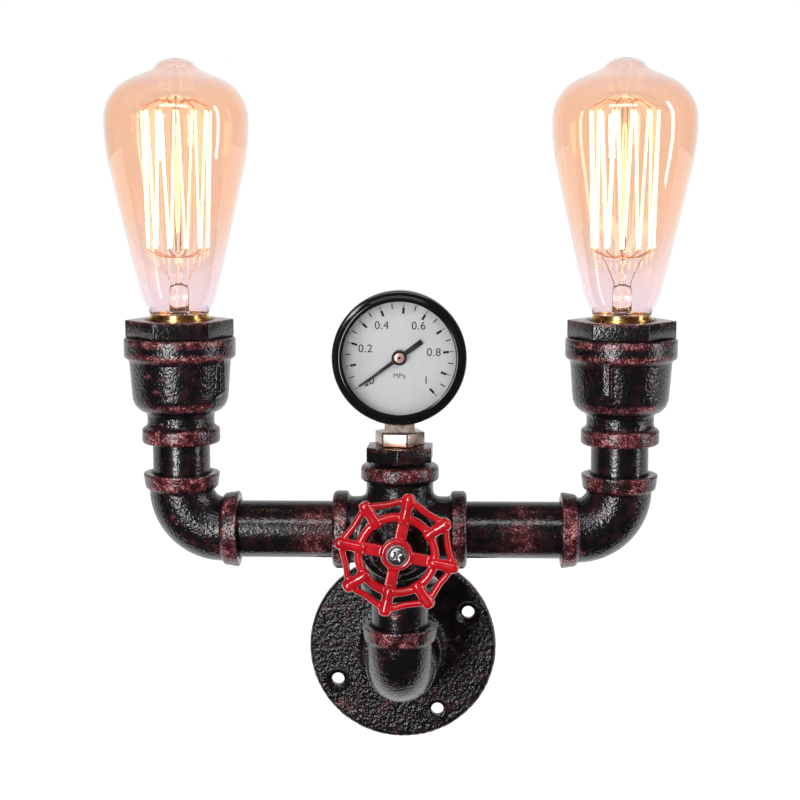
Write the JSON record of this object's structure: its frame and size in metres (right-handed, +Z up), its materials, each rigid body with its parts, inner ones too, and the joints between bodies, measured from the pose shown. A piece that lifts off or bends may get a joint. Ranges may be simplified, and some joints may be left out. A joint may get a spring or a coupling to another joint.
{
  "type": "pipe wall light",
  "caption": "Wall light made of black pipe and cast fittings, with lamp cups on side arms, a pressure gauge and a red handwheel.",
  "frame": {"origin": "centre of the wall flange's back face", "axes": "+Z up, +X to the right as seen from the front; the wall is the plane y = 0 and the light faces -Y"},
  "size_m": [0.2634, 0.1207, 0.3292],
  "materials": {
    "iron": "satin black paint rubbed through to dark red",
    "pipe": "smooth satin black",
    "collar": "satin black",
    "ceramic": "glazed porcelain",
    "brass": "machined",
    "lamp_cap": "rolled",
    "lead": "matte sheath",
    "amber_glass": "clear amber",
    "clear_glass": "clear",
    "dark_glass": "glossy black",
    "filament": "glowing",
    "wire": "drawn",
    "red_enamel": "gloss red",
    "zinc": "zinc plated",
    "dark_steel": "blackened",
    "nickel": "nickel plated",
    "black_gloss": "gloss black",
    "dial": "matte silver grey",
    "pointer": "satin black"
  },
  "bodies": {
    "frame": {"wall_flange": "iron", "wall_nipple": "pipe", "base_elbow": "iron", "riser_nipple": "pipe", "valve_cross": "iron", "arm_pipe_left": "pipe", "arm_elbow_left": "iron", "cup_nipple_left": "pipe", "lamp_cup_left": "iron", "hex_collar_left": "collar", "lampholder_left": "ceramic", "screw_shell_left": "brass", "centre_contact_left": "brass", "lead_left": "lead", "arm_pipe_right": "pipe", "arm_elbow_right": "iron", "cup_nipple_right": "pipe", "lamp_cup_right": "iron", "hex_collar_right": "collar", "lampholder_right": "ceramic", "screw_shell_right": "brass", "centre_contact_right": "brass", "lead_right": "lead", "valve_bonnet": "collar", "gland_nut": "collar", "gauge_bushing": "collar", "gauge_adapter": "nickel", "gauge_stem": "brass", "gauge_case": "black_gloss", "gauge_bezel": "black_gloss", "gauge_window": "clear_glass", "gauge_dial": "dial", "stop_pin": "pointer", "movement_frame": "brass", "bourdon_tube": "brass", "hairspring": "brass"},
    "handwheel_body": {"handwheel": "red_enamel", "wheel_washer": "zinc", "wheel_screw": "zinc", "valve_spindle": "dark_steel"},
    "pointer_body": {"gauge_pointer": "pointer", "pinion_shaft": "brass"},
    "sector_body": {"sector_gear": "brass"},
    "link_body": {"movement_link": "brass"},
    "foot_left": {"foot_contact_left": "brass"},
    "lamp_left": {"bulb_glass_left": "amber_glass", "bulb_cap_left": "lamp_cap", "cap_insulator_left": "dark_glass", "bulb_stem_left": "clear_glass", "filament_left": "filament", "support_wires_left": "wire"},
    "foot_right": {"foot_contact_right": "brass"},
    "lamp_right": {"bulb_glass_right": "amber_glass", "bulb_cap_right": "lamp_cap", "cap_insulator_right": "dark_glass", "bulb_stem_right": "clear_glass", "filament_right": "filament", "support_wires_right": "wire"}
  },
  "joints": [
    {"name": "handwheel_turn", "type": "hinge", "parent": "frame", "child": "handwheel_body", "pos_m": [0, -0.063, 0.071], "axis": [0, 1, 0], "continuous": true},
    {"name": "pointer_turn", "type": "hinge", "parent": "frame", "child": "pointer_body", "pos_m": [0, -0.063, 0.1512], "axis": [0, 1, 0], "range_deg": [0, 262], "stiffness_Nm_per_rad": 0.00002, "springref_deg": -28.65},
    {"name": "sector_swing", "type": "hinge", "parent": "frame", "child": "sector_body", "pos_m": [0, -0.063, 0.135], "axis": [0, 1, 0], "range_deg": [-33, 0]},
    {"name": "link_swing", "type": "hinge", "parent": "sector_body", "child": "link_body", "pos_m": [0.0076, -0.063, 0.1375], "axis": [0, 1, 0], "range_deg": [0, 50]},
    {"name": "lamp_left_lift", "type": "slide", "parent": "frame", "child": "foot_left", "axis": [0, 0, 1], "range_m": [0, 0.01815]},
    {"name": "lamp_left_turn", "type": "hinge", "parent": "foot_left", "child": "lamp_left", "pos_m": [-0.0996, -0.063, 0.16], "axis": [0, 0, 1], "range_deg": [0, 1800]},
    {"name": "lamp_right_lift", "type": "slide", "parent": "frame", "child": "foot_right", "axis": [0, 0, 1], "range_m": [0, 0.01815]},
    {"name": "lamp_right_turn", "type": "hinge", "parent": "foot_right", "child": "lamp_right", "pos_m": [0.0996, -0.063, 0.16], "axis": [0, 0, 1], "range_deg": [0, 1800]}
  ],
  "couplings": [
    {"joint": "sector_swing", "follows": "pointer_turn", "ratio": -0.125},
    {"joint": "link_swing", "follows": "pointer_turn", "ratio": 0.1893},
    {"joint": "lamp_left_lift", "follows": "lamp_left_turn", "m_per_rad": 0.00057757},
    {"joint": "lamp_right_lift", "follows": "lamp_right_turn", "m_per_rad": 0.00057757}
  ]
}
